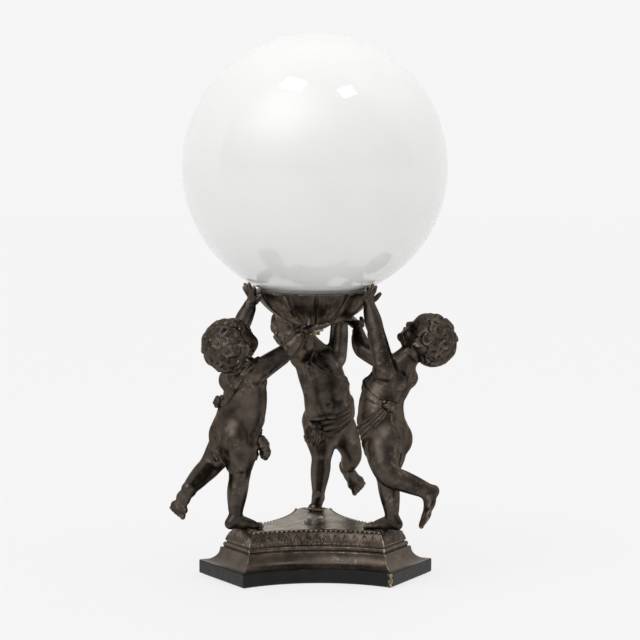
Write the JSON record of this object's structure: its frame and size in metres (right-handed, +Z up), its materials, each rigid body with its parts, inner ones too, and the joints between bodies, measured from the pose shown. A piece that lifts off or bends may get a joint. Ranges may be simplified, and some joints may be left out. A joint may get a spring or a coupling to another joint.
{
  "type": "figural table lamp",
  "caption": "Table lamp with a white glass ball globe in a shallow lobed bowl, carried on the raised hands of cast putti on a stepped three-sided base with hollow sides.",
  "frame": {"origin": "middle of the flat felt under the base, on the lamp's axis", "axes": "+Z up along the lamp's axis, -Y out of the front long side of the base, +X to the right of the front"},
  "size_m": [0.2683, 0.2616, 0.5165],
  "materials": {
    "bronzed_casting": "dark brown bronzed patina over cast zinc alloy, rubbed bright on raised places",
    "ebonised_wood": "near-black ebonised wood, satin",
    "baize": "dark green felt",
    "steel": "plain steel",
    "worn_plate": "silvery worn plating",
    "brass_fittings": "turned brass",
    "lead_cover": "brown flexible insulation",
    "fibre_liner": "pressed fibre",
    "porcelain": "glazed white porcelain",
    "bulb_aluminium": "drawn aluminium",
    "black_glass": "black insulating glass",
    "bulb_glass": "soft white frosted glass",
    "clear_glass": "clear glass",
    "opal_glass": "glossy white opal glass"
  },
  "bodies": {
    "lamp": {"left_body": "bronzed_casting", "left_head": "bronzed_casting", "left_trailing_leg": "bronzed_casting", "left_sash": "bronzed_casting", "left_raised_arm": "bronzed_casting", "left_reaching_arm": "bronzed_casting", "right_body": "bronzed_casting", "right_head": "bronzed_casting", "right_trailing_leg": "bronzed_casting", "right_sash": "bronzed_casting", "right_raised_arm": "bronzed_casting", "right_reaching_arm": "bronzed_casting", "rear_body": "bronzed_casting", "rear_head": "bronzed_casting", "rear_trailing_leg": "bronzed_casting", "rear_sash": "bronzed_casting", "rear_raised_arm": "bronzed_casting", "rear_reaching_arm": "bronzed_casting", "base_casting": "bronzed_casting", "bowl": "bronzed_casting", "felt_pad": "baize", "plinth": "ebonised_wood", "tie_rod": "steel", "centre_cap_nut": "worn_plate", "tie_washer": "steel", "tie_nut": "steel", "foot_screws": "steel", "foot_washers": "steel", "palm_screws": "steel", "hand_screws": "steel", "lead": "lead_cover", "cord_bush": "brass_fittings", "threaded_tube": "brass_fittings", "jam_washer": "brass_fittings", "jam_nut": "brass_fittings", "holder_cap": "brass_fittings", "holder_shell": "brass_fittings", "holder_liner": "fibre_liner", "holder_body": "porcelain", "terminal_screws": "brass_fittings", "screw_shell": "brass_fittings", "centre_contact": "brass_fittings"},
    "globe": {"globe": "opal_glass"},
    "bulb": {"bulb_cap": "bulb_aluminium", "bulb_insulator": "black_glass", "bulb_tip": "brass_fittings", "bulb_glass": "bulb_glass", "bulb_stem": "clear_glass"}
  },
  "joints": [
    {"name": "globe_lift", "type": "slide", "parent": "lamp", "child": "globe", "axis": [0, 0, 1], "range_m": [0, 0.16]},
    {"name": "bulb_unscrew", "type": "slide", "parent": "lamp", "child": "bulb", "axis": [0, 0, 1], "range_m": [0, 0.03]}
  ]
}
